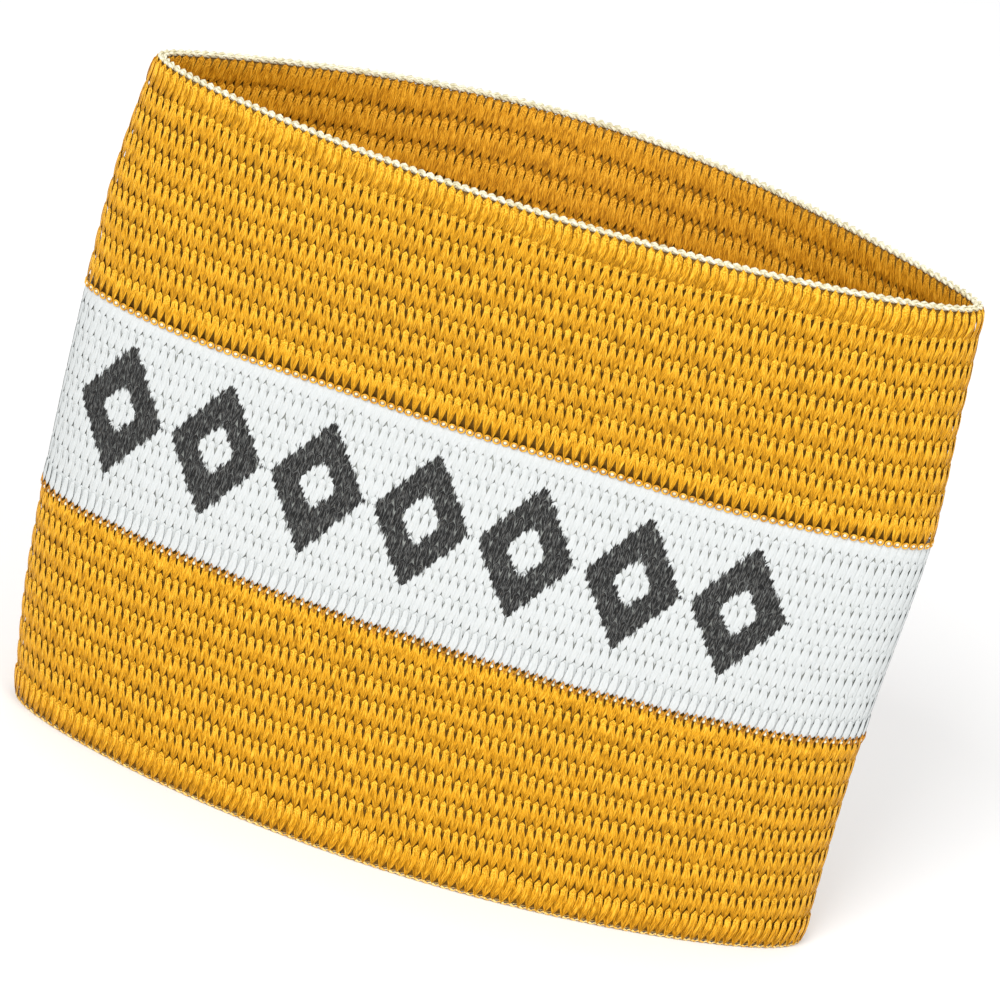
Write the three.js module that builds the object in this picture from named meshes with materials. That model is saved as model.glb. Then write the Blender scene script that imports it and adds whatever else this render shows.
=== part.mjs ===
// A captain armband: one loop of ribbed knitted elastic in three colours, standing on its lower rim.
// Millimetres, +Z up. The two folds of the loop lie along X, its front faces -Y, and the lower rim is at Z = 0.
import * as THREE from 'three';

// Driving dimensions
const LOOP_LENGTH = 230; // once round the outside of the ribs, the same at every height
const RIB_HEIGHT = 3.25;
const RIBS = { lower: 9, middle: 9, upper: 9 };
const VALLEY_WALL = 1.0; // wall between two ribs
const RIB_RELIEF = 0.4; // how far a rib stands out, on each face of the wall
const FOLD_INSIDE = 1.2; // inside radius of the roundest fold
const FRONT_BULGE = 16.2; // from the line between the folds out to the front, at its fullest
const BACK_BULGE = 23.4;
const TOP_CHAIN_HEIGHT = 0.8;
const BOTTOM_CHAIN_HEIGHT = 0.5;
const CHAIN_WALL = 0.9;
const SEAM_GAP = 0.3; // between pieces that meet

// The outline of the loop, seen from above, at heights that are shares of the whole height.
// front and back are shares of the two bulges, fold of FOLD_INSIDE, and lean is a shift along X, as a share of
// LOOP_LENGTH.
const OUTLINES = [
  { at: 0.0, front: 1.0, back: 0.68, fold: 1.0, lean: 0.001 },
  { at: 0.17, front: 0.84, back: 0.58, fold: 0.85, lean: -0.004 },
  { at: 0.34, front: 0.79, back: 0.51, fold: 0.75, lean: -0.006 },
  { at: 0.65, front: 0.61, back: 0.45, fold: 0.4, lean: -0.005 },
  { at: 0.83, front: 0.76, back: 0.67, fold: 0.33, lean: -0.007 },
  { at: 1.0, front: 0.86, back: 1.0, fold: 0.3, lean: -0.006 },
];

// One rib from its foot to its top: height as a share of RIB_HEIGHT, relief as a share of RIB_RELIEF.
// The outer face is rounder and hangs over its foot a little, as each row of the knit overlaps the one below.
const OUTER_RIB = [
  { up: 0.0, relief: 0.0 },
  { up: 0.32, relief: 0.75 },
  { up: 0.72, relief: 1.0 },
];
const INNER_RIB = [
  { up: 0.0, relief: 0.0 },
  { up: 0.55, relief: 1.0 },
];

// A chain's section: width as a share of its wall, height as a share of its height, from its foot round.
const CHAIN_SECTION = [
  { side: 0.3, up: 0.0 },
  { side: 0.5, up: 0.45 },
  { side: 0.22, up: 1.0 },
  { side: -0.22, up: 1.0 },
  { side: -0.5, up: 0.45 },
  { side: -0.3, up: 0.0 },
];

const STEPS_ROUND = 36;
const STEPS_TO_FOLDS = 0.4; // how far the steps are drawn towards the folds, from 0 to 1

const rib_wall = VALLEY_WALL + 2 * RIB_RELIEF;
const bandHeight = (ribs) => ribs * RIB_HEIGHT;

// The pieces from the floor up
const lower_band_foot = BOTTOM_CHAIN_HEIGHT + SEAM_GAP;
const middle_band_foot = lower_band_foot + bandHeight(RIBS.lower) + SEAM_GAP;
const upper_band_foot = middle_band_foot + bandHeight(RIBS.middle) + SEAM_GAP;
const top_chain_foot = upper_band_foot + bandHeight(RIBS.upper) + SEAM_GAP;
const whole_height = top_chain_foot + TOP_CHAIN_HEIGHT;

const outlineColumns = ['front', 'back', 'fold', 'lean'];
const outlineBetweenRows = new THREE.CubicInterpolant(
  OUTLINES.map((row) => row.at),
  OUTLINES.flatMap((row) => outlineColumns.map((column) => row[column])),
  outlineColumns.length,
);

const roundSteps = Array.from({ length: STEPS_ROUND }, (_, step) => {
  const even = (2 * Math.PI * step) / STEPS_ROUND;
  return even - (STEPS_TO_FOLDS * Math.sin(2 * even)) / 2;
});

// A point on the outside of the ribs and the direction out of the cloth there. The outline is a flat ellipse that
// gives the folds their radius, plus a bulge of the third power in the middle of each face.
function outlinePoint(outline, turn) {
  const { halfWidth, front, back, foldRadius, lean } = outline;
  const fold = Math.sqrt(foldRadius * halfWidth);
  const bulge = (Math.sin(turn) < 0 ? front : back) - fold;
  const point = new THREE.Vector2(
    lean + halfWidth * Math.cos(turn),
    fold * Math.sin(turn) + bulge * Math.sin(turn) ** 3,
  );
  const out = new THREE.Vector2(
    fold * Math.cos(turn) + 3 * bulge * Math.sin(turn) ** 2 * Math.cos(turn),
    halfWidth * Math.sin(turn),
  ).normalize();
  return { point, out };
}

function lengthRound(outline) {
  const points = roundSteps.map((turn) => outlinePoint(outline, turn).point);
  return points.reduce((sum, point, step) => sum + point.distanceTo(points[(step + 1) % STEPS_ROUND]), 0);
}

// The outline at a height. The half-width is found by halving, so that the loop is as long there as everywhere.
function outlineAt(height) {
  const [front, back, fold, lean] = outlineBetweenRows.evaluate(height / whole_height);
  const outline = {
    front: front * FRONT_BULGE,
    back: back * BACK_BULGE,
    foldRadius: rib_wall + fold * FOLD_INSIDE,
    lean: lean * LOOP_LENGTH,
  };
  let narrow = LOOP_LENGTH / 8;
  let wide = LOOP_LENGTH / 2;
  for (let halving = 0; halving < 24; halving++) {
    outline.halfWidth = (narrow + wide) / 2;
    if (lengthRound(outline) < LOOP_LENGTH) narrow = outline.halfWidth;
    else wide = outline.halfWidth;
  }
  return outline;
}

// A closed ring from a closed section: each section point has a height and a depth into the cloth from the outside
// of the ribs, in order up the outside and down the inside.
function ringOfCloth(section) {
  const positions = section.flatMap(({ height, depth }) => {
    const outline = outlineAt(height);
    return roundSteps.flatMap((turn) => {
      const { point, out } = outlinePoint(outline, turn);
      point.addScaledVector(out, -depth);
      return [point.x, point.y, height];
    });
  });
  const indices = [];
  section.forEach((_, row) => {
    const thisRow = row * STEPS_ROUND;
    const nextRow = ((row + 1) % section.length) * STEPS_ROUND;
    for (let step = 0; step < STEPS_ROUND; step++) {
      const next = (step + 1) % STEPS_ROUND;
      indices.push(thisRow + step, thisRow + next, nextRow + next);
      indices.push(thisRow + step, nextRow + next, nextRow + step);
    }
  });
  const geometry = new THREE.BufferGeometry();
  geometry.setAttribute('position', new THREE.Float32BufferAttribute(positions, 3));
  geometry.setIndex(indices);
  return geometry;
}

// One face of a band: its ribs from the foot up, ending in the valley above the last one.
function ribbedFace(foot, ribs, rib, depthOf) {
  const rows = [];
  for (let count = 0; count < ribs; count++) {
    for (const { up, relief } of rib) {
      rows.push({ height: foot + (count + up) * RIB_HEIGHT, depth: depthOf(relief * RIB_RELIEF) });
    }
  }
  rows.push({ height: foot + bandHeight(ribs), depth: depthOf(0) });
  return rows;
}

function ribbedBand(foot, ribs) {
  const outside = ribbedFace(foot, ribs, OUTER_RIB, (relief) => RIB_RELIEF - relief);
  const inside = ribbedFace(foot, ribs, INNER_RIB, (relief) => RIB_RELIEF + VALLEY_WALL + relief);
  return ringOfCloth([...outside, ...inside.reverse()]);
}

// An edge chain runs along the middle of the wall.
function edgeChain(foot, chainHeight) {
  return ringOfCloth(
    CHAIN_SECTION.map(({ side, up }) => ({
      height: foot + up * chainHeight,
      depth: rib_wall / 2 - side * CHAIN_WALL,
    })),
  );
}

const goldYarn = new THREE.MeshStandardMaterial({ color: 0xf0a519, roughness: 0.55, metalness: 0 });
const whiteYarn = new THREE.MeshStandardMaterial({ color: 0xdcdcd7, roughness: 0.8, metalness: 0 });
const creamYarn = new THREE.MeshStandardMaterial({ color: 0xf2ecd0, roughness: 0.7, metalness: 0 });
const paleGoldYarn = new THREE.MeshStandardMaterial({ color: 0xf6cf62, roughness: 0.6, metalness: 0 });

const armband = new THREE.Group();

function addPiece(name, geometry, material) {
  const piece = new THREE.Mesh(geometry, material);
  piece.name = name;
  armband.add(piece);
}

addPiece('bottom_edge_chain', edgeChain(0, BOTTOM_CHAIN_HEIGHT), paleGoldYarn);
addPiece('lower_band', ribbedBand(lower_band_foot, RIBS.lower), goldYarn);
addPiece('middle_band', ribbedBand(middle_band_foot, RIBS.middle), whiteYarn);
addPiece('upper_band', ribbedBand(upper_band_foot, RIBS.upper), goldYarn);
addPiece('top_edge_chain', edgeChain(top_chain_foot, TOP_CHAIN_HEIGHT), creamYarn);

// The origin is under the middle of the loop's box.
const middle = new THREE.Box3().setFromObject(armband).getCenter(new THREE.Vector3());
armband.position.set(-middle.x, -middle.y, 0);

export default armband;
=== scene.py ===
import math

import bpy
import numpy as np
from mathutils import Matrix, Vector


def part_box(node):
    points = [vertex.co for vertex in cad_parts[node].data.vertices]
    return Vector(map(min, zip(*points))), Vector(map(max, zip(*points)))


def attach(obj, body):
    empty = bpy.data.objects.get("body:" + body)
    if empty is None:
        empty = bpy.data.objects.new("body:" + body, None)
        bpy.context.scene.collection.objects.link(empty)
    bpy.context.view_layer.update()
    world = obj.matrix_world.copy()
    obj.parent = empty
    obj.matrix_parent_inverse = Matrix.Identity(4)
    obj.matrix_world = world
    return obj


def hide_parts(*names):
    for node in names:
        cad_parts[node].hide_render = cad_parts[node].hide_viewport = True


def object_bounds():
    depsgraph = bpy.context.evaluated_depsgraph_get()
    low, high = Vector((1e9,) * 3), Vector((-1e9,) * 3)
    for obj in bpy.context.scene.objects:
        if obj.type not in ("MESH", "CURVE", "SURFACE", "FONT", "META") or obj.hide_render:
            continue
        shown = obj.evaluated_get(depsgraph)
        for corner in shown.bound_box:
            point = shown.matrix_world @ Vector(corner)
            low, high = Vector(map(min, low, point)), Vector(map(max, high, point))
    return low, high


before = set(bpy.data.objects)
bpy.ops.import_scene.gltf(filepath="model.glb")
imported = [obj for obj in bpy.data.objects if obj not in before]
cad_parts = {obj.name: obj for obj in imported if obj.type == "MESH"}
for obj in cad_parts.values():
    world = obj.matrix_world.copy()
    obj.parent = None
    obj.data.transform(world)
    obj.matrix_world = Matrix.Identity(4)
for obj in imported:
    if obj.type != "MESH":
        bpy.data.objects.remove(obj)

cad_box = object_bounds()
MM = 0.001

# The camera, round the middle of the loop
VIEW_AZIMUTH = math.radians(4.7)
VIEW_ELEVATION = math.radians(24.5)
VIEW_ROLL = math.radians(15.5)
VIEW_DISTANCE = 632 * MM
VIEW_WIDTH = 125 * MM
VIEW_RIGHT = 1.87 * MM
VIEW_DOWN = 0.37 * MM
SENSOR_WIDTH = 36
CLIP_FROM, CLIP_TO = 0.01, 10

# The studio: white paper, a white sky and two soft square lights
FLOOR_SIZE = 4
PAPER_COLOUR = (0.93, 0.93, 0.93, 1)
SKY_STRENGTH = 0.8
LIGHTS = [
    {"name": "key_light", "place": (-0.35, -0.9, 0.95), "size": 0.6, "power": 10},
    {"name": "fill_light", "place": (0.7, -0.7, 0.6), "size": 0.6, "power": 4},
]

# The loop's outline, seen from above, at heights that are shares of the whole height: front and back are
# shares of the two bulges, fold of FOLD_INSIDE, and lean of LOOP_LENGTH
LOOP_LENGTH = 230 * MM
WALL = 1.8 * MM
FOLD_INSIDE = 1.2 * MM
FRONT_BULGE = 16.2 * MM
BACK_BULGE = 23.4 * MM
OUTLINES = [
    {"at": 0.0, "front": 1.0, "back": 0.68, "fold": 1.0, "lean": 0.001},
    {"at": 0.17, "front": 0.84, "back": 0.58, "fold": 0.85, "lean": -0.004},
    {"at": 0.34, "front": 0.79, "back": 0.51, "fold": 0.75, "lean": -0.006},
    {"at": 0.65, "front": 0.61, "back": 0.45, "fold": 0.4, "lean": -0.005},
    {"at": 0.83, "front": 0.76, "back": 0.67, "fold": 0.33, "lean": -0.007},
    {"at": 1.0, "front": 0.86, "back": 1.0, "fold": 0.3, "lean": -0.006},
]
# The solids measure the loop's length in these steps, drawn towards the folds
STEPS_ROUND = 36
STEPS_TO_FOLDS = 0.4
HALVINGS = 24
# The grid of places on the cloth
HEIGHT_SAMPLES = 121
ROUND_SAMPLES = 2400
TURN_SAMPLES = 4 * ROUND_SAMPLES

# The knit
STITCHES_ROUND = 204
RIBS_OF_A_BAND = 9
BANDS = ("lower_band", "middle_band", "upper_band")
SEED = 11
# The seams lie a little off the edges of the solids
UPPER_SEAM_DROP = 1.35 * MM
LOWER_SEAM_RISE = 0.15 * MM

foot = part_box(BANDS[0])[0].z
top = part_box(BANDS[-1])[1].z
whole_height = cad_box[1].z
rib_height = (top - foot) / (RIBS_OF_A_BAND * len(BANDS))
pitch = LOOP_LENGTH / STITCHES_ROUND
lower_seam = RIBS_OF_A_BAND
upper_seam = 2 * RIBS_OF_A_BAND
ribs_in_all = 3 * RIBS_OF_A_BAND
edges_in_ribs = [0, lower_seam, upper_seam, ribs_in_all]
edge_heights = [foot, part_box(BANDS[0])[1].z + LOWER_SEAM_RISE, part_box(BANDS[2])[0].z - UPPER_SEAM_DROP, top]
stitch_numbers = np.arange(STITCHES_ROUND) - STITCHES_ROUND / 2

# Half a stitch, from its crown to its trough. across is a share of the pitch from the stitch's middle, lean
# a shift of both legs, up a share of the rib, deep a share of the wall, in from the crests, and swell a share
# of the strand's width.
GOLD_STITCH = [
    {"across": 0.0, "lean": -0.08, "up": 1.06, "deep": 0.12, "swell": 0.78},
    {"across": 0.085, "lean": -0.08, "up": 1.01, "deep": 0.1, "swell": 0.74},
    {"across": 0.085, "lean": -0.04, "up": 0.82, "deep": 0.08, "swell": 0.64},
    {"across": 0.2, "lean": 0.02, "up": 0.53, "deep": 0.09, "swell": 0.84},
    {"across": 0.345, "lean": 0.0, "up": 0.2, "deep": 0.13, "swell": 0.62},
    {"across": 0.5, "lean": -0.05, "up": -0.07, "deep": 0.24, "swell": 0.86},
]
# The white legs hide all but a narrow dimple of the backing
WHITE_STITCH = [
    {"across": 0.0, "lean": -0.03, "up": 1.07, "deep": 0.1, "swell": 0.75},
    {"across": 0.09, "lean": -0.03, "up": 1.02, "deep": 0.09, "swell": 0.72},
    {"across": 0.1, "lean": -0.01, "up": 0.86, "deep": 0.09, "swell": 0.62},
    {"across": 0.2, "lean": 0.02, "up": 0.56, "deep": 0.09, "swell": 0.8},
    {"across": 0.35, "lean": 0.0, "up": 0.2, "deep": 0.1, "swell": 0.62},
    {"across": 0.5, "lean": -0.02, "up": -0.08, "deep": 0.15, "swell": 0.9},
]
# The gold row over the upper seam closes its legs to points, with wide openings between them
UPPER_SEAM_STITCH = [
    {"across": 0.0, "lean": -0.08, "up": 1.06, "deep": 0.12, "swell": 0.8},
    {"across": 0.085, "lean": -0.08, "up": 1.01, "deep": 0.1, "swell": 0.78},
    {"across": 0.12, "lean": -0.03, "up": 0.82, "deep": 0.08, "swell": 0.76},
    {"across": 0.3, "lean": 0.02, "up": 0.56, "deep": 0.06, "swell": 0.8},
    {"across": 0.42, "lean": 0.0, "up": 0.25, "deep": 0.05, "swell": 0.62},
    {"across": 0.5, "lean": 0.0, "up": -0.02, "deep": 0.08, "swell": 0.66},
]
# The white row under that seam stops short of it, flat and closed
UNDER_SEAM_STITCH = [
    {"across": 0.0, "lean": 0.0, "up": 0.8, "deep": 0.22, "swell": 1.0},
    {"across": 0.1, "lean": 0.0, "up": 0.77, "deep": 0.18, "swell": 1.05},
    {"across": 0.17, "lean": 0.0, "up": 0.64, "deep": 0.12, "swell": 1.05},
    {"across": 0.26, "lean": 0.0, "up": 0.46, "deep": 0.1, "swell": 1.04},
    {"across": 0.415, "lean": 0.0, "up": 0.18, "deep": 0.1, "swell": 0.62},
    {"across": 0.5, "lean": -0.02, "up": -0.08, "deep": 0.15, "swell": 0.9},
]
# The lowest white row ends in narrow points over the gold
LAST_WHITE_STITCH = [
    {"across": 0.0, "lean": -0.03, "up": 1.07, "deep": 0.1, "swell": 0.75},
    {"across": 0.09, "lean": -0.03, "up": 1.01, "deep": 0.09, "swell": 0.72},
    {"across": 0.13, "lean": 0.02, "up": 0.83, "deep": 0.08, "swell": 0.78},
    {"across": 0.25, "lean": 0.08, "up": 0.52, "deep": 0.07, "swell": 1.05},
    {"across": 0.37, "lean": 0.05, "up": 0.28, "deep": 0.07, "swell": 0.8},
    {"across": 0.5, "lean": 0.0, "up": 0.1, "deep": 0.11, "swell": 0.38},
]
# The gold row under those points has lower crowns
UNDER_WHITE_STITCH = [
    {"across": 0.0, "lean": -0.08, "up": 0.97, "deep": 0.16, "swell": 0.8},
    {"across": 0.08, "lean": -0.08, "up": 0.92, "deep": 0.12, "swell": 0.78},
    {"across": 0.1, "lean": -0.04, "up": 0.74, "deep": 0.09, "swell": 0.76},
    {"across": 0.24, "lean": 0.03, "up": 0.48, "deep": 0.1, "swell": 1.05},
    {"across": 0.385, "lean": 0.0, "up": 0.19, "deep": 0.13, "swell": 0.66},
    {"across": 0.5, "lean": -0.05, "up": -0.09, "deep": 0.23, "swell": 0.9},
]
# The rows along the rims are fat crescents, whose rising legs hide the falling ones
TOP_ROW_STITCH = [
    {"across": 0.0, "lean": -0.2, "up": 1.09, "deep": 0.18, "swell": 0.95},
    {"across": 0.07, "lean": -0.1, "up": 0.97, "deep": 0.1, "swell": 1.0},
    {"across": 0.1, "lean": 0.08, "up": 0.72, "deep": 0.06, "swell": 1.05},
    {"across": 0.2, "lean": 0.14, "up": 0.44, "deep": 0.07, "swell": 1.05},
    {"across": 0.33, "lean": 0.08, "up": 0.17, "deep": 0.12, "swell": 0.85},
    {"across": 0.5, "lean": -0.1, "up": -0.09, "deep": 0.24, "swell": 0.8},
]
BOTTOM_ROW_STITCH = [
    {"across": 0.0, "lean": -0.05, "up": 1.06, "deep": 0.12, "swell": 0.8},
    {"across": 0.08, "lean": -0.02, "up": 1.0, "deep": 0.09, "swell": 0.82},
    {"across": 0.1, "lean": 0.05, "up": 0.8, "deep": 0.07, "swell": 0.9},
    {"across": 0.2, "lean": 0.06, "up": 0.5, "deep": 0.08, "swell": 1.05},
    {"across": 0.33, "lean": -0.06, "up": 0.2, "deep": 0.13, "swell": 0.9},
    {"across": 0.5, "lean": -0.16, "up": -0.1, "deep": 0.26, "swell": 0.75},
]
# All rows on the inner face
INNER_STITCH = [
    {"across": 0.0, "lean": 0.05, "up": 1.06, "deep": 0.88, "swell": 0.95},
    {"across": 0.09, "lean": 0.05, "up": 1.0, "deep": 0.89, "swell": 0.92},
    {"across": 0.11, "lean": 0.03, "up": 0.84, "deep": 0.9, "swell": 0.86},
    {"across": 0.33, "lean": 0.0, "up": 0.34, "deep": 0.88, "swell": 1.05},
    {"across": 0.5, "lean": 0.0, "up": -0.09, "deep": 0.76, "swell": 1.0},
]
# How far a rising leg lies in front of the table's depth, and a falling leg behind it
RISING_LEG_LIFT = 0.03 * MM
RIM_LEG_LIFT = 0.11 * MM
# The rows, counted from the foot, that aren't their band's plain stitch
SPECIAL_ROWS = {
    0: (BOTTOM_ROW_STITCH, RIM_LEG_LIFT),
    lower_seam - 1: (UNDER_WHITE_STITCH, RISING_LEG_LIFT),
    lower_seam: (LAST_WHITE_STITCH, RIM_LEG_LIFT),
    upper_seam - 1: (UNDER_SEAM_STITCH, RISING_LEG_LIFT),
    upper_seam: (UPPER_SEAM_STITCH, RISING_LEG_LIFT),
    ribs_in_all - 1: (TOP_ROW_STITCH, RIM_LEG_LIFT),
}
# Each row's streaks start this much further along, in millimetres, so that no two rows look alike
ALONG_BETWEEN_ROWS = 47.0
# The rows stray by these waves round the loop, two of each kind. Their size is a share of a rib, and they
# slant by up to MOST_SLANT radians from row to row.
SWAYS = [
    {"waves": 3, "share": 0.03},
    {"waves": 7, "share": 0.02},
    {"waves": 17, "share": 0.012},
]
SWAYS_OF_A_KIND = 2
MOST_SLANT = 1.5
# How far crowns and troughs stray by chance, in the units of the tables
JITTER = {"across": 0.02, "up": 0.022, "swell": 0.05}
# The middle of a strand stays over the floor and under the crest of the top chain
LOWEST_YARN = 0.42 * MM
HIGHEST_YARN_PAST_TOP = 0.2 * MM

# Flattened strands: width, thickness and sides
GOLD_STRAND = (0.85 * MM, 0.22 * MM)
WHITE_STRAND = (1.0 * MM, 0.15 * MM)
SIDES_OUTSIDE = 5
SIDES_INSIDE = 3

# The walls behind the yarn, with their outer and inner depth. The lower gold one reaches up a little under
# the white points.
GOLD_BACKING = (0.46 * WALL, 0.54 * WALL)
WHITE_BACKING = (0.21 * WALL, 0.54 * WALL)
BACKING_ROWS = 6
BACKING_STEPS = 240
FOOT_BACKING_DROP = 0.35 * MM
LOWER_BACKING_RISE = 0.7 * MM
UPPER_BACKING_DROP = 0.35 * MM
backing_edges = [
    edge_heights[0] - FOOT_BACKING_DROP,
    edge_heights[1] + LOWER_BACKING_RISE,
    edge_heights[2] - UPPER_BACKING_DROP,
    edge_heights[3],
]

# The small parts of the seams, whose drops and rises are shares of a rib
RING_DROP = 0.07
RING_DEPTH = 0.03 * WALL
UPPER_RING = {"Ring Length": 0.82 * MM, "Ring Width": 0.72 * MM, "Wire": 0.23 * MM}
RING_FACES = {"Segments": 10, "Sides": 4}
BEAD_IN_RING_RISE = 0.02
UPPER_BEAD = {"Bead Length": 0.5 * MM, "Bead Width": 0.42 * MM, "Bead Height": 0.36 * MM}
LOWER_BEAD_RISE = 0.04
LOWER_BEAD_DEPTH = 0.02 * WALL
LOWER_BEAD = {"Bead Length": 0.44 * MM, "Bead Width": 0.52 * MM, "Bead Height": 0.4 * MM}
BEAD_FACES = {"Segments": 6, "Rings": 4}
# A short way along a row, in stitches, that shows which way the row runs
SHORT_WAY = 0.01
SEAM_THREAD_SIZE = (0.21 * MM, 0.2 * MM)
SEAM_THREAD_SIDES = 4
SEAM_THREAD = [
    {"across": 0.0, "up": 0.3, "deep": -0.02, "swell": 0.9},
    {"across": 0.26, "up": 0.1, "deep": -0.05, "swell": 0.8},
    {"across": 0.5, "up": -0.12, "deep": 0.04, "swell": 1.5},
    {"across": 0.74, "up": 0.1, "deep": -0.05, "swell": 1.4},
]

# The links of the rim chains, whose up is in millimetres from the band's edge
TOP_CHAIN_STRAND = (0.42 * MM, 0.4 * MM)
TOP_CHAIN_SIDES = 6
TOP_CHAIN_LINK = [
    {"across": -0.46, "up": 0.62, "deep": 0.36, "swell": 0.45},
    {"across": -0.25, "up": 0.66, "deep": 0.28, "swell": 0.95},
    {"across": 0.15, "up": 0.5, "deep": 0.26, "swell": 1.0},
    {"across": 0.42, "up": 0.3, "deep": 0.34, "swell": 0.5},
]
TOP_CHAIN_INNER_LINK = [
    {"across": 0.04, "up": 0.25, "deep": 0.66, "swell": 0.45},
    {"across": 0.25, "up": 0.45, "deep": 0.7, "swell": 0.95},
    {"across": 0.6, "up": 0.65, "deep": 0.66, "swell": 1.0},
    {"across": 0.92, "up": 0.6, "deep": 0.6, "swell": 0.5},
]
# A straight core fills the top chain between its two rows of links
TOP_CHAIN_HEART = [
    {"across": 0.0, "up": 0.32, "deep": 0.48, "swell": 1.3},
    {"across": 0.5, "up": 0.32, "deep": 0.48, "swell": 1.3},
]
BOTTOM_CHAIN_STRAND = (0.28 * MM, 0.3 * MM)
BOTTOM_CHAIN_SIDES = 5
BOTTOM_CHAIN_LINK = [
    {"across": -0.45, "up": -0.5, "deep": 0.3, "swell": 0.6},
    {"across": -0.2, "up": -0.4, "deep": 0.26, "swell": 1.0},
    {"across": 0.15, "up": -0.55, "deep": 0.26, "swell": 1.1},
    {"across": 0.4, "up": -0.69, "deep": 0.3, "swell": 0.6},
]
BOTTOM_CHAIN_INNER_LINK = [
    {"across": 0.05, "up": -0.69, "deep": 0.6, "swell": 0.6},
    {"across": 0.3, "up": -0.55, "deep": 0.62, "swell": 1.0},
    {"across": 0.65, "up": -0.42, "deep": 0.62, "swell": 1.1},
    {"across": 0.9, "up": -0.55, "deep": 0.6, "swell": 0.6},
]

# The print, a row of open lozenges. PRINT_FROM and MOTIF_PITCH are in stitches, the first of them from the
# middle of the front, and PRINT_MIDDLE is in ribs from the foot. The last two are in millimetres.
MOTIFS = 7
MOTIF_PITCH = 12.0
PRINT_FROM = -47.0
PRINT_MIDDLE = 13.85
MOTIF_WIDTH = 8.6 * MM
MOTIF_HEIGHT = 13.0 * MM
MOTIF_STROKE = 3.2 * MM
STROKE_BLUR = 0.12
STROKE_RAGGED = 0.9

# The noise of the filaments: cells across a strand, and cells for each millimetre along it
FILAMENTS_ACROSS = 9
FILAMENTS_ALONG = 0.7


def between_rows(rows, column, at):
    """A column of a table between its rows, on smooth curves whose ends run straight."""
    places = np.array([row["at"] for row in rows])
    values = np.array([row[column] for row in rows])
    slopes = np.diff(values) / np.diff(places)
    tangents = np.concatenate([slopes[:1], (slopes[:-1] + slopes[1:]) / 2, slopes[-1:]])
    low = np.clip(np.searchsorted(places, at, side="right") - 1, 0, len(places) - 2)
    step = places[low + 1] - places[low]
    share = (at - places[low]) / step
    return (
        values[low] * (1 + 2 * share) * (1 - share) ** 2
        + tangents[low] * step * share * (1 - share) ** 2
        + values[low + 1] * share**2 * (3 - 2 * share)
        + tangents[low + 1] * step * share**2 * (share - 1)
    )


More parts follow.
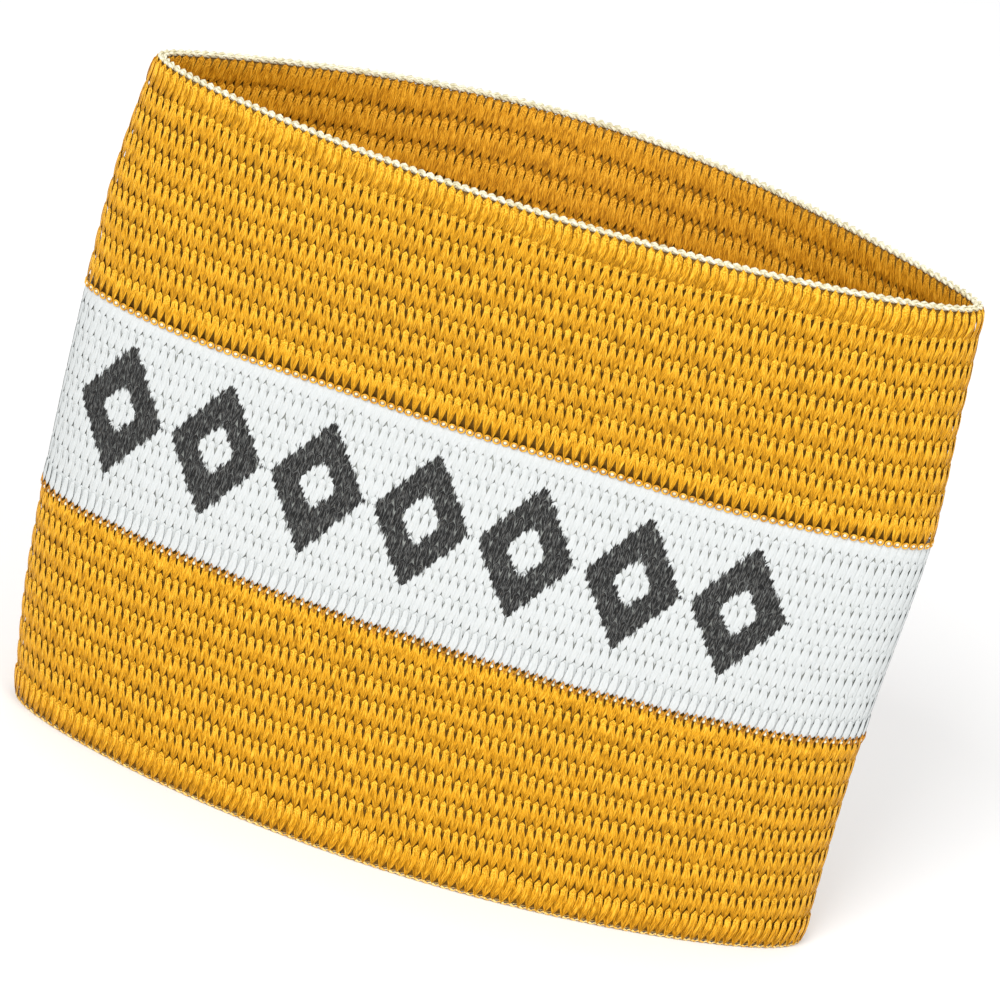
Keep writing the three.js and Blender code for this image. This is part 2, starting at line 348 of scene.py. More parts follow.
class Cloth:
    """The loop's surface. A place on it is given by turns, a share of the loop from the middle of the front
    towards +X, a height, and a depth in from the crests of the outer ribs."""

    def __init__(self):
        heights = np.linspace(0, whole_height, HEIGHT_SAMPLES)[:, None]
        at = heights / whole_height
        self.front = between_rows(OUTLINES, "front", at) * FRONT_BULGE
        self.back = between_rows(OUTLINES, "back", at) * BACK_BULGE
        self.fold_radius = WALL + between_rows(OUTLINES, "fold", at) * FOLD_INSIDE
        self.lean = between_rows(OUTLINES, "lean", at) * LOOP_LENGTH
        self.grid = self.even_grid(self.half_widths())
        self.shift = self.middle_of_box()

    def half_widths(self):
        """The half-width at each height, found by halving, so that the loop is equally long at all heights."""
        even = 2 * np.pi * np.arange(STEPS_ROUND + 1) / STEPS_ROUND
        steps = even - STEPS_TO_FOLDS * np.sin(2 * even) / 2
        narrow = np.full_like(self.front, LOOP_LENGTH / 8)
        wide = np.full_like(self.front, LOOP_LENGTH / 2)
        for _ in range(HALVINGS):
            half_width = (narrow + wide) / 2
            x, y, _, _ = self.outline(half_width, steps)
            length = np.hypot(np.diff(x), np.diff(y)).sum(1, keepdims=True)
            narrow = np.where(length < LOOP_LENGTH, half_width, narrow)
            wide = np.where(length < LOOP_LENGTH, wide, half_width)
        return half_width

    def even_grid(self, half_width):
        """x, y and the way out of the cloth, at each height and at even shares of the loop."""
        turn = np.linspace(-1.5 * np.pi, 0.5 * np.pi, TURN_SAMPLES + 1)
        x, y, out_x, out_y = self.outline(half_width, turn)
        grid = np.empty((HEIGHT_SAMPLES, ROUND_SAMPLES + 1, 4))
        shares = np.linspace(-0.5, 0.5, ROUND_SAMPLES + 1)
        for level in range(HEIGHT_SAMPLES):
            steps_long = np.hypot(np.diff(x[level]), np.diff(y[level]))
            gone = np.concatenate([[0], np.cumsum(steps_long)])
            gone = gone / gone[-1] - 0.5
            for column, values in enumerate((x, y, out_x, out_y)):
                grid[level, :, column] = np.interp(shares, gone, values[level])
        return grid

    def middle_of_box(self):
        """The part's origin is under the middle of its box, and the top chain's box shows where that is."""
        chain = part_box("top_edge_chain")
        chain_at = (chain[0].z + chain[1].z) / 2 / whole_height
        lean = between_rows(OUTLINES, "lean", chain_at) * LOOP_LENGTH
        front = between_rows(OUTLINES, "front", chain_at) * FRONT_BULGE
        back = between_rows(OUTLINES, "back", chain_at) * BACK_BULGE
        middle_x = (chain[0].x + chain[1].x) / 2
        middle_y = (chain[0].y + chain[1].y) / 2
        return np.array([middle_x - lean, middle_y - (back - front) / 2])

    def outline(self, half_width, turn):
        """A flat ellipse that gives the folds their radius, and a bulge of the third power on each face."""
        fold = np.sqrt(self.fold_radius * half_width)
        sine, cosine = np.sin(turn), np.cos(turn)
        bulge = np.where(sine < 0, self.front, self.back) - fold
        out_x = fold * cosine + 3 * bulge * sine**2 * cosine
        out_y = half_width * sine
        size = np.hypot(out_x, out_y)
        x = self.lean + half_width * cosine
        y = fold * sine + bulge * sine**3
        return x, y, out_x / size, out_y / size

    def place(self, turns, height, depth):
        """Points, and the directions out of the cloth there, each as an array of rows of three."""
        turns, height, depth = np.broadcast_arrays(turns, height, depth)
        column = ((turns + 0.5) % 1.0) * ROUND_SAMPLES
        level = np.clip(height / whole_height, 0, 1) * (HEIGHT_SAMPLES - 1)
        left = np.minimum(column.astype(int), ROUND_SAMPLES - 1)
        low = np.minimum(level.astype(int), HEIGHT_SAMPLES - 2)
        right_share = (column - left)[..., None]
        up_share = (level - low)[..., None]
        below = self.grid[low, left] * (1 - right_share) + self.grid[low, left + 1] * right_share
        above = self.grid[low + 1, left] * (1 - right_share) + self.grid[low + 1, left + 1] * right_share
        found = below * (1 - up_share) + above * up_share
        out = found[..., 2:] / np.linalg.norm(found[..., 2:], axis=-1, keepdims=True)
        flat = found[..., :2] + self.shift - out * depth[..., None]
        points = np.concatenate([flat, height[..., None]], axis=-1)
        return points, np.concatenate([out, np.zeros_like(height)[..., None]], axis=-1)


cloth = Cloth()


class Signal:
    """A number or a vector from a node. On a number, Python's own signs add Math nodes."""

    def __init__(self, tree, socket):
        self.tree = tree
        self.socket = socket

    def math(self, operation, *others):
        return self.tree.add("ShaderNodeMath", {"operation": operation}, dict(enumerate([self, *others])))

    def __add__(self, other):
        return self.math("ADD", other)

    def __sub__(self, other):
        return self.math("SUBTRACT", other)

    def __mul__(self, other):
        return self.math("MULTIPLY", other)

    def __truediv__(self, other):
        return self.math("DIVIDE", other)

    def __mod__(self, other):
        return self.math("FLOORED_MODULO", other)

    def __abs__(self):
        return self.math("ABSOLUTE")

    def __rsub__(self, other):
        return self.tree.add("ShaderNodeMath", {"operation": "SUBTRACT"}, {0: other, 1: self})

    __radd__ = __add__
    __rmul__ = __mul__

    def rise(self, low, high):
        """0 below low and 1 above high, with a smooth step between them; low may be the larger."""
        settings = {"interpolation_type": "SMOOTHSTEP"}
        limits = {"From Min": low, "From Max": high}
        return self.tree.add("ShaderNodeMapRange", settings, {"Value": self, **limits})


class Tree:
    """A tree of nodes that is being built, of a material or of geometry."""

    def __init__(self, tree):
        self.tree = tree

    def add(self, kind, settings=None, inputs=None, output=0):
        """Adds a node, its settings first, then the values or links of its sockets, and gives an output."""
        node = self.tree.nodes.new(kind)
        for key, value in (settings or {}).items():
            setattr(node, key, value)
        for key, value in (inputs or {}).items():
            if isinstance(value, Signal):
                self.tree.links.new(value.socket, node.inputs[key])
            else:
                node.inputs[key].default_value = value
        return Signal(self, node.outputs[output])

    def vector(self, x, y, z=0.0):
        return self.add("ShaderNodeCombineXYZ", None, {"X": x, "Y": y, "Z": z})

    def split(self, vector):
        """The three numbers of a vector."""
        node = self.add("ShaderNodeSeparateXYZ", None, {"Vector": vector}).socket.node
        return [Signal(self, output) for output in node.outputs]


class Finish(Tree):
    """A material on one Principled shader."""

    def __init__(self, name, **sockets):
        self.material = bpy.data.materials.new(name)
        self.material.use_nodes = True
        super().__init__(self.material.node_tree)
        self.shader = self.tree.nodes["Principled BSDF"]
        for key, value in sockets.items():
            self.shader.inputs[key.replace("_", " ")].default_value = value

    def feed(self, socket, signal):
        self.tree.links.new(signal.socket, self.shader.inputs[socket])

    def map_of(self, name):
        """The two numbers of one of the piece's own maps."""
        return self.split(self.add("ShaderNodeUVMap", {"uv_map": name}))[:2]

    def noise(self, place, scale=1.0, detail=2.0, roughness=0.5):
        """Noise at a place. Where its third number is set, it only keeps one noise from matching another."""
        values = {"Vector": place, "Scale": scale, "Detail": detail, "Roughness": roughness}
        return self.add("ShaderNodeTexNoise", None, values)

    def filaments(self, over, along):
        """Long streaks along a strand, from over, its place across it, and along in millimetres."""
        place = self.vector(over * FILAMENTS_ACROSS, along * FILAMENTS_ALONG)
        return self.noise(place, detail=3, roughness=0.65)

    def grain(self, scale):
        """Fine noise that is the same on every small part."""
        return self.noise(self.add("ShaderNodeTexCoord", output="Object"), scale=scale)

    def mix(self, share, low, high):
        """A colour between two, by a share from 0 to 1."""
        node = self.add("ShaderNodeMix", {"data_type": "RGBA"}, {0: share}).socket.node
        for index, colour in ((6, low), (7, high)):
            if isinstance(colour, Signal):
                self.tree.links.new(colour.socket, node.inputs[index])
            else:
                node.inputs[index].default_value = (*colour, 1.0)
        return Signal(self, node.outputs[2])

    def bump(self, height, distance):
        self.feed("Normal", self.add("ShaderNodeBump", None, {"Height": height, "Distance": distance}))


class SweepTree(Tree):
    """Geometry nodes that are given named inputs."""

    def __init__(self, name, inputs):
        super().__init__(bpy.data.node_groups.new(name, "GeometryNodeTree"))
        face = self.tree.interface
        face.new_socket("Geometry", in_out="OUTPUT", socket_type="NodeSocketGeometry")
        self.identifiers = {}
        for label, kind in {"Geometry": "NodeSocketGeometry", **inputs}.items():
            self.identifiers[label] = face.new_socket(label, in_out="INPUT", socket_type=kind).identifier
        self.entry = self.tree.nodes.new("NodeGroupInput")

    def given(self, label):
        return Signal(self, self.entry.outputs[label])

    def named(self, attribute, kind="FLOAT"):
        return self.add("GeometryNodeInputNamedAttribute", {"data_type": kind}, {"Name": attribute})

    def store(self, geometry, name, kind, domain, value):
        settings = {"data_type": kind, "domain": domain}
        values = {0: geometry, "Name": name, "Value": value}
        return self.add("GeometryNodeStoreNamedAttribute", settings, values)

    def placed(self, small):
        """An instance of a small shape on each point: its X along run, its Z along out."""
        points = self.add("GeometryNodeMeshToPoints", None, {0: self.given("Geometry")})
        axes = {0: self.named("out", "FLOAT_VECTOR"), 1: self.named("run", "FLOAT_VECTOR")}
        order = {"primary_axis": "Z", "secondary_axis": "X"}
        turned = self.add("FunctionNodeAxesToRotation", order, axes)
        instances = {0: points, "Instance": small, "Rotation": turned}
        return self.add("GeometryNodeInstanceOnPoints", None, instances)

    def finish(self, geometry, smooth=True):
        """Every tree ends in plain faces with their material."""
        shaded = self.add("GeometryNodeSetShadeSmooth", None, {0: geometry, "Shade Smooth": smooth})
        plain = self.add("GeometryNodeRealizeInstances", None, {0: shaded})
        done = self.add("GeometryNodeSetMaterial", None, {0: plain, "Material": self.given("Finish")})
        self.tree.links.new(done.socket, self.tree.nodes.new("NodeGroupOutput").inputs[0])


def strand_tree():
    """Sweeps a flattened round along each path. The path carries out, the way out of the cloth, swell, along
    in millimetres, and its place in the stitch and in the fabric."""
    sizes = {"Strand Width": "NodeSocketFloat", "Strand Thickness": "NodeSocketFloat"}
    counts = {"Sides": "NodeSocketInt", "Round": "NodeSocketBool", "Finish": "NodeSocketMaterial"}
    tree = SweepTree("strand_sweep", {**sizes, **counts})
    paths = tree.add("GeometryNodeMeshToCurve", None, {0: tree.given("Geometry")})
    facing = {0: paths, "Normal": tree.named("out", "FLOAT_VECTOR")}
    paths = tree.add("GeometryNodeSetCurveNormal", {"mode": "FREE"}, facing)
    section = tree.add("GeometryNodeCurvePrimitiveCircle", None, {0: tree.given("Sides"), "Radius": 1.0})
    place = tree.split(tree.add("GeometryNodeInputPosition"))
    section = tree.store(section, "over", "FLOAT", "POINT", place[1] * 0.5 + 0.5)
    size = tree.vector(tree.given("Strand Thickness") * 0.5, tree.given("Strand Width") * 0.5, 1.0)
    section = tree.add("GeometryNodeTransform", None, {0: section, "Scale": size})
    sweep = {0: paths, 1: section, "Scale": tree.named("swell"), "Fill Caps": True}
    yarn = tree.add("GeometryNodeCurveToMesh", None, sweep)
    strand = tree.vector(tree.named("over"), tree.named("along"))
    yarn = tree.store(yarn, "Strand", "FLOAT2", "CORNER", strand)
    yarn = tree.store(yarn, "Stitch", "FLOAT2", "CORNER", tree.named("stitch", "FLOAT_VECTOR"))
    yarn = tree.store(yarn, "Fabric", "FLOAT2", "CORNER", tree.named("fabric", "FLOAT_VECTOR"))
    tree.finish(yarn, tree.given("Round"))
    return tree


def bead_tree():
    """A small egg on each point, its length along run and its height along out."""
    sizes = dict.fromkeys(("Bead Length", "Bead Width", "Bead Height"), "NodeSocketFloat")
    counts = {"Segments": "NodeSocketInt", "Rings": "NodeSocketInt", "Finish": "NodeSocketMaterial"}
    tree = SweepTree("beads", {**sizes, **counts})
    shape = {0: tree.given("Segments"), 1: tree.given("Rings"), "Radius": 0.5}
    bead = tree.add("GeometryNodeMeshUVSphere", None, shape)
    size = tree.vector(*[tree.given(label) for label in sizes])
    bead = tree.add("GeometryNodeTransform", None, {0: bead, "Scale": size})
    tree.finish(tree.placed(bead))
    return tree


def ring_tree():
    """A small oval ring of wire lying on the cloth at each point."""
    sizes = dict.fromkeys(("Ring Length", "Ring Width", "Wire"), "NodeSocketFloat")
    counts = {"Segments": "NodeSocketInt", "Sides": "NodeSocketInt", "Finish": "NodeSocketMaterial"}
    tree = SweepTree("rings", {**sizes, **counts})
    oval = tree.add("GeometryNodeCurvePrimitiveCircle", None, {0: tree.given("Segments"), "Radius": 0.5})
    size = tree.vector(tree.given("Ring Length"), tree.given("Ring Width"), 1.0)
    oval = tree.add("GeometryNodeTransform", None, {0: oval, "Scale": size})
    wire = {0: tree.given("Sides"), "Radius": tree.given("Wire") * 0.5}
    section = tree.add("GeometryNodeCurvePrimitiveCircle", None, wire)
    tree.finish(tree.placed(tree.add("GeometryNodeCurveToMesh", None, {0: oval, 1: section})))
    return tree


def made_by(tree, name, base, inputs):
    """The plain mesh that a tree makes of a base mesh, as a piece of the object."""
    holder = added(name + "_base", base)
    modifier = holder.modifiers.new("made", "NODES")
    modifier.node_group = tree.tree
    for label, value in inputs.items():
        modifier[tree.identifiers[label]] = value
    seen = holder.evaluated_get(bpy.context.evaluated_depsgraph_get())
    mesh = bpy.data.meshes.new_from_object(seen)
    mesh.name = name
    bpy.data.objects.remove(holder)
    # Some shapes come with an empty first slot
    if mesh.materials[0] is None:
        mesh.materials.pop(index=0)
    for carried in ("out", "run", "swell", "along", "over", "stitch", "fabric"):
        if carried in mesh.attributes:
            mesh.attributes.remove(mesh.attributes[carried])
    return added(name, mesh)


def added(name, data):
    """An object in the scene, of a mesh, a light or a camera."""
    made = bpy.data.objects.new(name, data)
    bpy.context.scene.collection.objects.link(made)
    return made


def base_mesh(name, paths, linked=True):
    """A mesh of the points of some paths, linked in order or loose. A path is a table of columns, of which
    points are its places and the others become numbers at its points."""
    table = {key: np.concatenate([path[key] for path in paths]) for key in paths[0]}
    points = table.pop("points")
    mesh = bpy.data.meshes.new(name)
    mesh.vertices.add(len(points))
    mesh.vertices.foreach_set("co", points.astype(np.float32).ravel())
    if linked:
        ends = np.cumsum([len(path["points"]) for path in paths])
        starts = np.setdiff1d(np.arange(len(points) - 1), ends - 1)
        mesh.edges.add(len(starts))
        pairs = np.stack([starts, starts + 1], axis=1)
        mesh.edges.foreach_set("vertices", pairs.astype(np.int32).ravel())
    kinds = {1: ("FLOAT", "value"), 2: ("FLOAT2", "vector"), 3: ("FLOAT_VECTOR", "vector")}
    for key, values in table.items():
        kind, field = kinds[1 if values.ndim == 1 else values.shape[1]]
        layer = mesh.attributes.new(key, kind, "POINT")
        layer.data.foreach_set(field, values.astype(np.float32).ravel())
    mesh.update()
    return mesh


def whole_stitch(half):
    """A stitch from half of one: its rising leg from the left trough, its crown, and its falling leg as far
    as the right trough, which is the next stitch's. leg is -1 on the way up, 0 at the crown and then 1."""
    table = {key: np.array([row[key] for row in half]) for key in half[0]}
    whole = {key: np.concatenate([values[:0:-1], values[:-1]]) for key, values in table.items()}
    whole["leg"] = np.where(np.arange(len(whole["up"])) < len(half) - 1, -1, 1)
    whole["leg"][len(half) - 1] = 0
    whole["across"] = whole["across"] * np.where(whole["leg"] < 0, -1, 1) + whole["lean"]
    return whole


def sway(turns, ribs):
    """How far the rows stray up and down along the loop, as in the real knit, as a share of a rib."""
    phases = np.random.default_rng(SEED)
    stray = 0
    for wave in SWAYS:
        for _ in range(SWAYS_OF_A_KIND):
            phase = phases.uniform(0, 2 * np.pi)
            slant = phases.uniform(-MOST_SLANT, MOST_SLANT)
            stray = stray + wave["share"] * np.sin(2 * np.pi * wave["waves"] * turns + slant * ribs + phase)
    return stray


def on_cloth(fabric_x, fabric_y, deep):
    """Points, and the directions out of the cloth there, from places in the fabric: stitches from the middle
    of the front, and ribs from the foot."""
    turns = fabric_x / STITCHES_ROUND
    beyond = fabric_y - np.clip(fabric_y, 0, ribs_in_all)
    from_rim = np.clip(np.minimum(fabric_y, ribs_in_all - fabric_y), 0, 1)
    stray = beyond + sway(turns, fabric_y) * from_rim
    height = np.interp(fabric_y, edges_in_ribs, edge_heights) + stray * rib_height
    return cloth.place(turns, height, deep)


def closed_path(columns, first_along=0.0):
    """A path once round the loop that ends where it starts. The columns have a row for each stitch, or one
    row for all of them."""
    shape = columns["fabric_x"].shape
    places = {key: np.broadcast_to(values, shape).ravel() for key, values in columns.items()}
    places = {key: np.append(values, values[0]) for key, values in places.items()}
    places["fabric_x"][-1] += STITCHES_ROUND
    points, out = on_cloth(places["fabric_x"], places["fabric_y"], places["deep"])
    steps = np.linalg.norm(np.diff(points, axis=0), axis=1)
    return {
        "points": points,
        "out": out,
        "swell": places["swell"],
        "along": first_along + np.concatenate([[0], np.cumsum(steps)]) / MM,
        "stitch": np.stack([places["across"], places["up"]], axis=1),
        "fabric": np.stack([places["fabric_x"], places["fabric_y"]], axis=1),
    }


def row_of_stitches(half, rib, lift):
    """The path of one row's yarn, from trough to trough, starting at the middle of the back."""
    stitch = whole_stitch(half)
    crown_share = np.clip(stitch["up"], 0, 1)
    rising = stitch["leg"] < 0
    stray = {}
    for key, spread in JITTER.items():
        crowns = draws.normal(0, spread, (STITCHES_ROUND, 1))
        troughs = draws.normal(0, spread, (STITCHES_ROUND, 1))
        nearest = np.where(rising, troughs, np.roll(troughs, -1, axis=0))
        stray[key] = crowns * crown_share + nearest * (1 - crown_share)
    lowest = (LOWEST_YARN - foot) / rib_height - rib
    highest = HIGHEST_YARN_PAST_TOP / rib_height + ribs_in_all - rib
    columns = {
        "fabric_x": stitch_numbers[:, None] + 0.5 + (stitch["across"] + stray["across"]),
        "fabric_y": rib + np.clip(stitch["up"] + stray["up"], lowest, highest),
        "across": stitch["across"],
        "up": stitch["up"],
        "deep": stitch["deep"] * WALL + lift * stitch["leg"],
        "swell": stitch["swell"] * (1 + stray["swell"]),
    }
    return closed_path(columns, rib * ALONG_BETWEEN_ROWS)


def repeated_path(link, fabric_y, unit=rib_height):
    """A path that repeats a table of places for each stitch. Its up is in shares of unit over fabric_y."""
    table = {key: np.array([row[key] for row in link]) for key in link[0]}
    columns = {
        "fabric_x": stitch_numbers[:, None] + table["across"],
        "fabric_y": fabric_y + table["up"] * unit / rib_height,
        "across": table["across"],
        "up": table["up"],
        "deep": table["deep"] * WALL,
        "swell": table["swell"],
    }
    return closed_path(columns)


def backing_wall(name, low, high, outer_depth, inner_depth):
    """The closed wall behind the yarn of one band."""
    heights = np.linspace(low, high, BACKING_ROWS)
    section = [(height, outer_depth) for height in heights]
    section += [(height, inner_depth) for height in heights[::-1]]
    turns = np.arange(BACKING_STEPS) / BACKING_STEPS - 0.5
    rings = [cloth.place(turns, height, depth)[0] for height, depth in section]
    step = np.arange(BACKING_STEPS)
    after = (step + 1) % BACKING_STEPS
    faces = []
    for row in range(len(section)):
        here = row * BACKING_STEPS
        above = (row + 1) % len(section) * BACKING_STEPS
        faces.append(np.stack([here + step, here + after, above + after, above + step], axis=1))
    mesh = bpy.data.meshes.new(name)
    mesh.from_pydata(np.concatenate(rings).tolist(), [], np.concatenate(faces).tolist())
    mesh.shade_smooth()
    return added(name, mesh)


def gold_finish(name, dark, middle, bright):
    """Satin yarn of many filaments, streaked along the strand, with painted highlight and bright specks on the
    crowns and painted shade in the troughs.
    """
    finish = Finish(name, Roughness=0.5, Specular_IOR_Level=0.25, Specular_Tint=GOLD_TINT)
    over, along = finish.map_of("Strand")
    _, up = finish.map_of("Stitch")
    fine = finish.filaments(over, along)
    broad = finish.noise(finish.vector(over * 2.2, along * 0.4, 5.0), detail=1)
    specks = finish.noise(finish.vector(over * 5, along * 4.5, 3.0), detail=2)
    # Painted shade: the lower part of each rib is darkened, as if it faced away from a light above.
    painted_trough_shade = up.rise(0.8, 0.1) * 0.32
    # Painted highlight: the crowns are paler, broken into bright specks that also stand for the fine threads
    # crossing there.
    crown_specks_and_painted_highlight = up.rise(0.6, 1.0) * (specks.rise(0.46, 0.6) * 1.1 - 0.15)
    tone = 0.52 + (fine - 0.5) * 4.6 + (broad - 0.5) * 1.4 - painted_trough_shade + crown_specks_and_painted_highlight
    low = finish.mix(tone.rise(-0.1, 0.55), dark, middle)
    finish.feed("Base Color", finish.mix(tone.rise(0.45, 1.2), low, bright))
    finish.bump(fine, GOLD_BUMP)
    return finish.material


def backing_finish(name, colour):
    finish = Finish(name, Roughness=0.85, Specular_IOR_Level=0.1)
    darker = tuple(0.55 * value for value in colour)
    finish.feed("Base Color", finish.mix(finish.grain(900.0), darker, colour))
    return finish.material


def plain_finish(name, dark, bright):
    """Small loops and beads of smooth yarn, told apart by a little grain."""
    finish = Finish(name, Roughness=0.55, Specular_IOR_Level=0.3)
    finish.feed("Base Color", finish.mix(finish.grain(1500.0).rise(0.35, 0.6), dark, bright))
    return finish.material


def lozenges(fabric_x, fabric_y, ragged):
    """1 where the printed lozenges cover the yarn. Distances are in millimetres."""
    from_first = (fabric_x - PRINT_FROM) / MOTIF_PITCH
    in_row = from_first.rise(0, 0.001) * from_first.rise(MOTIFS, MOTIFS - 0.001)
    sideways = abs((from_first % 1.0) - 0.5) * (MOTIF_PITCH * pitch / MM)
    upwards = abs(fabric_y - PRINT_MIDDLE) * (rib_height / MM)
    half_width, half_height = MOTIF_WIDTH / 2 / MM, MOTIF_HEIGHT / 2 / MM
    slant = math.hypot(half_width, half_height)
    to_middle = sideways * (half_height / slant) + upwards * (half_width / slant)
    from_line = abs(to_middle - half_width * half_height / slant)
    half_stroke = MOTIF_STROKE / 2 / MM
    rough = from_line + ragged * STROKE_RAGGED
    return rough.rise(half_stroke + STROKE_BLUR, half_stroke - STROKE_BLUR) * in_row


def white_finish(dark, bright, ink, worn_ink):
    """Soft matt yarn, printed with lozenges whose ink is thin along a strand's sides."""
    finish = Finish("white_matt_yarn", Roughness=0.8, Specular_IOR_Level=0.15)
    over, along = finish.map_of("Strand")
    _, up = finish.map_of("Stitch")
    fine = finish.filaments(over, along)
    ragged = finish.noise(finish.vector(over * 4, along * 1.4, 9.0), detail=2) - 0.5
    # Painted shade: the lower part of each rib is a little darker, as if it faced away from a light above.
    tone = 0.5 + (fine - 0.5) * 1.8 - up.rise(0.3, -0.05) * 0.12
    plain = finish.mix(tone.rise(-0.1, 0.9), dark, bright)
    streaks = finish.mix((fine + ragged * 0.7).rise(0.46, 0.7), ink, worn_ink)
    at_sides = abs(over - 0.5).rise(0.42, 0.5)
    covered = lozenges(*finish.map_of("Fabric"), ragged) * (1 - at_sides * 0.5)
    finish.feed("Base Color", finish.mix(covered, plain, streaks))
    finish.bump(fine, WHITE_BUMP)
    return finish.material


GOLD_TINT = (1.0, 0.72, 0.25, 1)
GOLD_BUMP = 0.12 * MM
WHITE_BUMP = 0.06 * MM
gold_yarn = gold_finish(
    "gold_satin_yarn", dark=(0.34, 0.145, 0.004), middle=(0.74, 0.34, 0.012), bright=(0.97, 0.56, 0.055)
)
# Painted shade: a darker copy of the gold yarn for the inner face, standing in for the shade inside the loop.
shaded_gold_inside = gold_finish(
    "gold_inside_yarn", dark=(0.3, 0.11, 0.004), middle=(0.66, 0.28, 0.011), bright=(0.9, 0.46, 0.04)
)
white_yarn = white_finish(
    dark=(0.5, 0.525, 0.51),
    bright=(0.62, 0.64, 0.645),
    ink=(0.012, 0.012, 0.012),
    worn_ink=(0.11, 0.11, 0.105),
)
gold_backing = backing_finish("gold_backing", (0.42, 0.22, 0.035))
white_backing = backing_finish("white_backing", (0.52, 0.54, 0.5))
cream_yarn = plain_finish("cream_smooth_yarn", (0.6, 0.54, 0.34), (0.82, 0.78, 0.6))
pale_gold_yarn = plain_finish("pale_gold_fine_yarn", (0.75, 0.42, 0.06), (0.95, 0.68, 0.24))
ring_yarn = plain_finish("gold_ring_yarn", (0.55, 0.23, 0.008), (0.85, 0.45, 0.04))
brown_yarn = plain_finish("orange_brown_yarn", (0.35, 0.13, 0.008), (0.7, 0.3, 0.02))

strands, beads, rings = strand_tree(), bead_tree(), ring_tree()
draws = np.random.default_rng(SEED)

GOLD_BAND = {
    "slot": "gold_yarn",
    "outside": gold_yarn,
    "inside": shaded_gold_inside,
    "strand": GOLD_STRAND,
    "stitch": GOLD_STITCH,
    "backing": gold_backing,
    "backing_depths": GOLD_BACKING,
}
WHITE_BAND = {
    "slot": "white_yarn",
    "outside": white_yarn,
    "inside": white_yarn,
    "strand": WHITE_STRAND,
    "stitch": WHITE_STITCH,
    "backing": white_backing,
    "backing_depths": WHITE_BACKING,
}


def swept(name, paths, size, sides, finish, smooth=True):
    """Yarn along some paths. Flattened yarn is left with flat faces, which look as flat as they are."""
    inputs = {"Strand Width": size[0], "Strand Thickness": size[1], "Sides": sides, "Finish": finish}
    inputs["Round"] = smooth
    return made_by(strands, name, base_mesh(name, paths), inputs)


def rides(piece, slot, *replaced):
    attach(piece, "root")
    if replaced:
        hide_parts(*replaced)


def banded(number, band, look):
    """One band: the wall behind its yarn, and the rows of yarn on its outer and inner faces."""
    low, high = backing_edges[number : number + 2]
    shell = backing_wall(band + "_backing", low, high, *look["backing_depths"])
    shell.data.materials.append(look["backing"])
    ribs = range(number * RIBS_OF_A_BAND, (number + 1) * RIBS_OF_A_BAND)
    rows = []
    for rib in ribs:
        half, lift = SPECIAL_ROWS.get(rib, (look["stitch"], RISING_LEG_LIFT))
        rows.append(row_of_stitches(half, rib, lift))
    face = swept(band + "_outer_yarn", rows, look["strand"], SIDES_OUTSIDE, look["outside"], smooth=False)
    rows = [row_of_stitches(INNER_STITCH, rib, -RISING_LEG_LIFT) for rib in ribs]
    back = swept(band + "_inner_yarn", rows, look["strand"], SIDES_INSIDE, look["inside"], smooth=False)
    rides(shell, look["slot"])
    rides(face, look["slot"], band)
    rides(back, look["slot"])
    high - low


def dotted(name, tree, across, fabric_y, deep, inputs):
    """Small parts at one place of every stitch, their length along the row and their top facing out."""
    fabric_x = stitch_numbers + across
    points, out = on_cloth(fabric_x, np.full_like(fabric_x, fabric_y), deep)
    ahead, _ = on_cloth(fabric_x + SHORT_WAY, np.full_like(fabric_x, fabric_y), deep)
    run = ahead - points
    run /= np.linalg.norm(run, axis=1, keepdims=True)
    places = {"points": points, "out": out, "run": run}
    return made_by(tree, name, base_mesh(name, [places], linked=False), inputs)


def upper_seam_parts():
    """Under each point of the gold legs hangs a small ring with a pale bead in it."""
    at = upper_seam - RING_DROP
    inputs = {**UPPER_RING, **RING_FACES, "Finish": ring_yarn}
    rides(dotted("upper_seam_rings", rings, 0.5, at, RING_DEPTH, inputs), "gold_yarn")
    inputs = {**UPPER_BEAD, **BEAD_FACES, "Finish": cream_yarn}
    rides(dotted("upper_seam_beads", beads, 0.5, at + BEAD_IN_RING_RISE, RING_DEPTH, inputs), "cream_yarn")


def lower_seam_parts():
    """A pale bead sits on each gold crown, under a thin brown thread that zigzags round the white points."""
    at = lower_seam + LOWER_BEAD_RISE
    inputs = {**LOWER_BEAD, **BEAD_FACES, "Finish": cream_yarn}
    rides(dotted("lower_seam_beads", beads, 0.0, at, LOWER_BEAD_DEPTH, inputs), "cream_yarn")
    thread = repeated_path(SEAM_THREAD, lower_seam)
    piece = swept("lower_seam_thread", [thread], SEAM_THREAD_SIZE, SEAM_THREAD_SIDES, brown_yarn)
    rides(piece, "gold_yarn")


def edge_chains():
    """The chains along the two rims, each of slanted links outside and inside."""
    tables = (TOP_CHAIN_LINK, TOP_CHAIN_HEART, TOP_CHAIN_INNER_LINK)
    paths = [repeated_path(table, ribs_in_all, MM) for table in tables]
    piece = swept("top_rim_chain", paths, TOP_CHAIN_STRAND, TOP_CHAIN_SIDES, cream_yarn)
    rides(piece, "cream_yarn", "top_edge_chain")
    paths = [repeated_path(table, 0, MM) for table in (BOTTOM_CHAIN_LINK, BOTTOM_CHAIN_INNER_LINK)]
    piece = swept("bottom_rim_chain", paths, BOTTOM_CHAIN_STRAND, BOTTOM_CHAIN_SIDES, pale_gold_yarn)
    rides(piece, "pale_gold_yarn", "bottom_edge_chain")


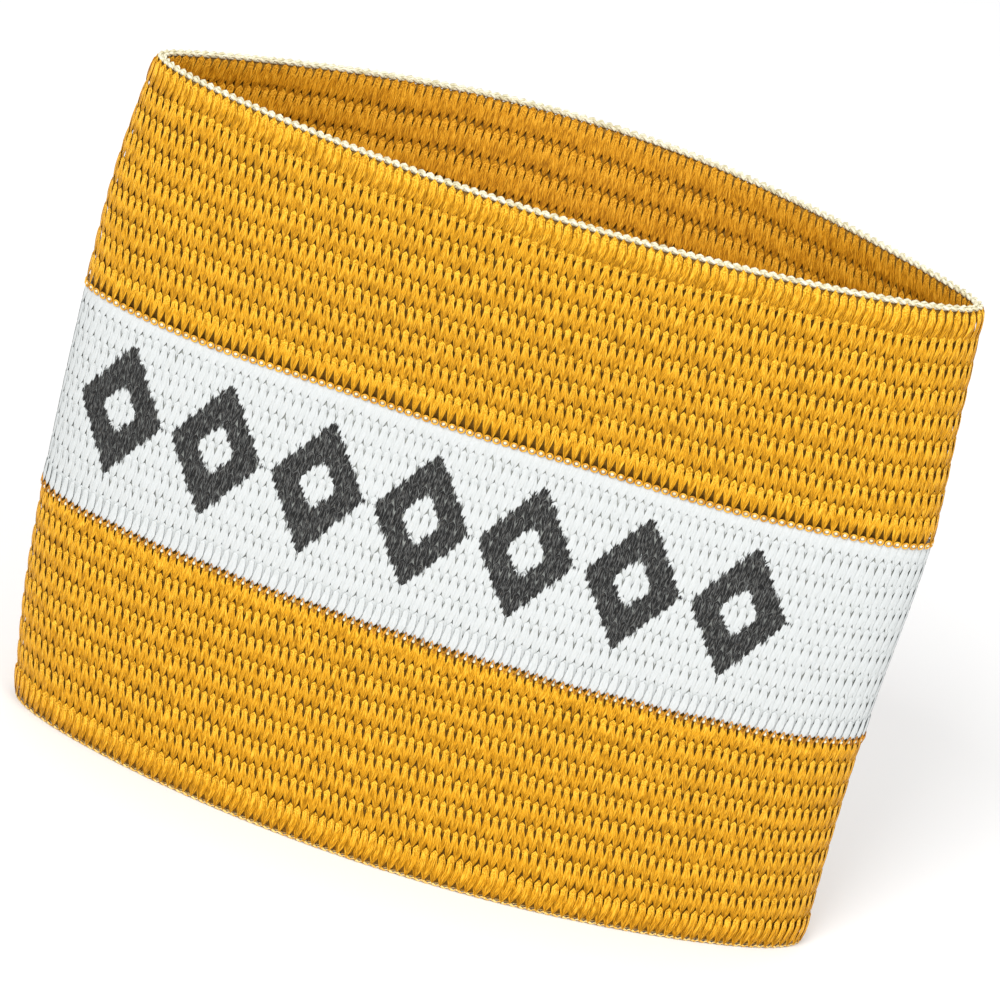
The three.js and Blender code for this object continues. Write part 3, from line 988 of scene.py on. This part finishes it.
for number, (band, look) in enumerate(zip(BANDS, (GOLD_BAND, WHITE_BAND, GOLD_BAND))):
    banded(number, band, look)
upper_seam_parts()
lower_seam_parts()
edge_chains()


def look_from(azimuth, elevation, roll):
    """A camera looking at the middle of the loop, turned about its own axis as the photographer held it."""
    target = Vector((0, 0, whole_height / 2))
    right = Vector((math.cos(azimuth), math.sin(azimuth), 0))
    ahead = Vector((-math.sin(azimuth), math.cos(azimuth), 0)) * math.cos(elevation)
    ahead -= Vector((0, 0, math.sin(elevation)))
    place = target - ahead * VIEW_DISTANCE
    aim = target + right * VIEW_RIGHT - right.cross(ahead) * VIEW_DOWN
    back = (place - aim).normalized()
    level = Vector((0, 0, 1)).cross(back).normalized()
    side = level * math.cos(roll) + back.cross(level) * math.sin(roll)
    axes = Matrix((side, back.cross(side), back)).transposed()
    camera = bpy.data.cameras.new("camera")
    camera.sensor_width = SENSOR_WIDTH
    camera.lens = SENSOR_WIDTH * VIEW_DISTANCE / VIEW_WIDTH
    camera.clip_start, camera.clip_end = CLIP_FROM, CLIP_TO
    holder = added("camera", camera)
    holder.matrix_world = Matrix.Translation(place) @ axes.to_4x4()
    bpy.context.scene.camera = holder


def soft_light(name, place, size, power):
    light = bpy.data.lights.new(name, "AREA")
    light.size = size
    light.energy = power
    holder = added(name, light)
    holder.location = place
    holder.rotation_mode = "QUATERNION"
    holder.rotation_quaternion = Vector(place).to_track_quat("Z", "Y")


def studio():
    bpy.ops.mesh.primitive_plane_add(size=FLOOR_SIZE)
    floor = bpy.context.object
    floor.name = "floor"
    paper = Finish("floor_paper", Roughness=0.9, Specular_IOR_Level=0.1, Base_Color=PAPER_COLOUR)
    floor.data.materials.append(paper.material)
    world = bpy.data.worlds.new("studio")
    world.use_nodes = True
    sky = world.node_tree.nodes["Background"]
    sky.inputs["Color"].default_value = (1, 1, 1, 1)
    sky.inputs["Strength"].default_value = SKY_STRENGTH
    bpy.context.scene.world = world
    for light in LIGHTS:
        soft_light(**light)
    bpy.context.scene.view_settings.view_transform = "Standard"


look_from(VIEW_AZIMUTH, VIEW_ELEVATION, VIEW_ROLL)
studio()
